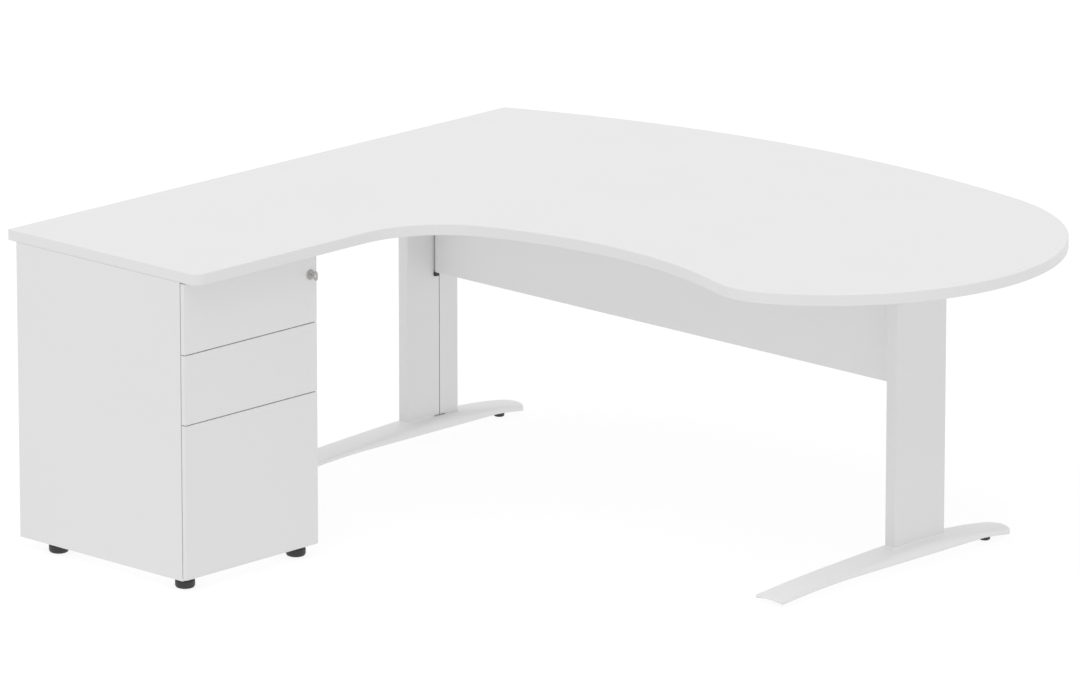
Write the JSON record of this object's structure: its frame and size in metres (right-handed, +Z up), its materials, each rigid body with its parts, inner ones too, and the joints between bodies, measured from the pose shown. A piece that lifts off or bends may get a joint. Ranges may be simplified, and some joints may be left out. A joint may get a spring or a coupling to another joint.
{
  "type": "corner desk with pedestal",
  "caption": "L-shaped office desk with a curved user edge and a round end, on panel legs with pressed feet and a lockable drawer pedestal under the return.",
  "frame": {"origin": "on the floor, under the middle of the desk's outer box", "axes": "+X along the desk's length, from the return's outer edge to the round end; +Y away from the user; +Z up"},
  "size_m": [1.8895, 1.8078, 0.733],
  "materials": {
    "board": "white melamine-faced chipboard, satin",
    "edging": "white plastic edging, satin",
    "coated_steel": "white powder coat, fine texture",
    "black_steel": "black powder coat",
    "zinc_steel": "zinc plated",
    "lock_nickel": "satin nickel plated",
    "black_plastic": "black moulded plastic",
    "grey_plastic": "grey moulded plastic"
  },
  "bodies": {
    "desk": {"desktop": "board", "desktop_edge_band": "edging", "left_foot": "coated_steel", "left_column": "coated_steel", "left_cable_cover": "coated_steel", "left_top_arm": "coated_steel", "left_arm_screw_front": "zinc_steel", "left_arm_screw_rear": "zinc_steel", "right_foot": "coated_steel", "right_column": "coated_steel", "right_cable_cover": "coated_steel", "right_top_arm": "coated_steel", "right_arm_screw_front": "zinc_steel", "right_arm_screw_rear": "zinc_steel", "modesty_panel": "board", "left_modesty_bracket": "black_steel", "right_modesty_bracket": "black_steel", "pedestal_outer_side": "board", "pedestal_inner_side": "board", "pedestal_back": "board", "pedestal_top": "board", "pedestal_base": "board", "filing_outer_cabinet_runner": "zinc_steel", "filing_inner_cabinet_runner": "zinc_steel", "middle_outer_cabinet_runner": "zinc_steel", "middle_inner_cabinet_runner": "zinc_steel", "top_outer_cabinet_runner": "zinc_steel", "top_inner_cabinet_runner": "zinc_steel", "locking_bar_guide_lower": "black_plastic", "locking_bar_guide_upper": "black_plastic"},
    "top_drawer": {"top_drawer_front": "board", "top_drawer_box": "board", "top_outer_drawer_runner": "zinc_steel", "top_inner_drawer_runner": "zinc_steel", "pencil_tray": "grey_plastic", "lock_housing": "lock_nickel"},
    "middle_drawer": {"middle_drawer_front": "board", "middle_drawer_box": "board", "middle_outer_drawer_runner": "zinc_steel", "middle_inner_drawer_runner": "zinc_steel"},
    "filing_drawer": {"filing_drawer_front": "board", "filing_drawer_box": "board", "filing_outer_drawer_runner": "zinc_steel", "filing_inner_drawer_runner": "zinc_steel", "file_rail_outer": "zinc_steel", "file_rail_inner": "zinc_steel"},
    "filing_outer_stage": {"filing_outer_middle_runner": "zinc_steel"},
    "filing_inner_stage": {"filing_inner_middle_runner": "zinc_steel"},
    "key_and_plug": {"key": "lock_nickel", "lock_plug": "lock_nickel"},
    "locking_bar": {"locking_bar": "zinc_steel"},
    "pedestal_foot_rear_outer": {"pedestal_foot_rear_outer": "black_plastic"},
    "pedestal_foot_front_outer": {"pedestal_foot_front_outer": "black_plastic"},
    "pedestal_foot_rear_inner": {"pedestal_foot_rear_inner": "black_plastic"},
    "pedestal_foot_front_inner": {"pedestal_foot_front_inner": "black_plastic"},
    "left_front_glide": {"left_front_glide": "black_plastic"},
    "left_rear_glide": {"left_rear_glide": "black_plastic"},
    "right_front_glide": {"right_front_glide": "black_plastic"},
    "right_rear_glide": {"right_rear_glide": "black_plastic"}
  },
  "joints": [
    {"name": "top_drawer_slide", "type": "slide", "parent": "desk", "child": "top_drawer", "axis": [1, 0, 0], "range_m": [0, 0.33]},
    {"name": "middle_drawer_slide", "type": "slide", "parent": "desk", "child": "middle_drawer", "axis": [1, 0, 0], "range_m": [0, 0.33]},
    {"name": "filing_drawer_slide", "type": "slide", "parent": "desk", "child": "filing_drawer", "axis": [1, 0, 0], "range_m": [0, 0.43]},
    {"name": "filing_outer_stage_slide", "type": "slide", "parent": "desk", "child": "filing_outer_stage", "axis": [1, 0, 0], "range_m": [0, 0.215]},
    {"name": "filing_inner_stage_slide", "type": "slide", "parent": "desk", "child": "filing_inner_stage", "axis": [1, 0, 0], "range_m": [0, 0.215]},
    {"name": "key_turn", "type": "hinge", "parent": "top_drawer", "child": "key_and_plug", "pos_m": [-0.3795, -0.512, 0.655], "axis": [1, 0, 0], "range_deg": [0, 90]},
    {"name": "locking_bar_lift", "type": "slide", "parent": "desk", "child": "locking_bar", "axis": [0, 0, 1], "range_m": [0, 0.0099]},
    {"name": "pedestal_foot_rear_outer_turn", "type": "hinge", "parent": "desk", "child": "pedestal_foot_rear_outer", "pos_m": [-0.825, -0.8715, 0.01], "axis": [0, 0, 1], "continuous": true},
    {"name": "pedestal_foot_front_outer_turn", "type": "hinge", "parent": "desk", "child": "pedestal_foot_front_outer", "pos_m": [-0.42, -0.8715, 0.01], "axis": [0, 0, 1], "continuous": true},
    {"name": "pedestal_foot_rear_inner_turn", "type": "hinge", "parent": "desk", "child": "pedestal_foot_rear_inner", "pos_m": [-0.825, -0.5245, 0.01], "axis": [0, 0, 1], "continuous": true},
    {"name": "pedestal_foot_front_inner_turn", "type": "hinge", "parent": "desk", "child": "pedestal_foot_front_inner", "pos_m": [-0.42, -0.5245, 0.01], "axis": [0, 0, 1], "continuous": true},
    {"name": "left_front_glide_turn", "type": "hinge", "parent": "desk", "child": "left_front_glide", "pos_m": [-0.905, -0.0385, 0.01], "axis": [0, 0, 1], "continuous": true},
    {"name": "left_rear_glide_turn", "type": "hinge", "parent": "desk", "child": "left_rear_glide", "pos_m": [-0.905, 0.6385, 0.01], "axis": [0, 0, 1], "continuous": true},
    {"name": "right_front_glide_turn", "type": "hinge", "parent": "desk", "child": "right_front_glide", "pos_m": [0.6135, -0.0385, 0.01], "axis": [0, 0, 1], "continuous": true},
    {"name": "right_rear_glide_turn", "type": "hinge", "parent": "desk", "child": "right_rear_glide", "pos_m": [0.6135, 0.6385, 0.01], "axis": [0, 0, 1], "continuous": true}
  ],
  "couplings": [
    {"joint": "filing_outer_stage_slide", "follows": "filing_drawer_slide", "ratio": 0.5},
    {"joint": "filing_inner_stage_slide", "follows": "filing_drawer_slide", "ratio": 0.5},
    {"joint": "key_turn", "follows": "locking_bar_lift", "rad_per_m": 158.6}
  ]
}
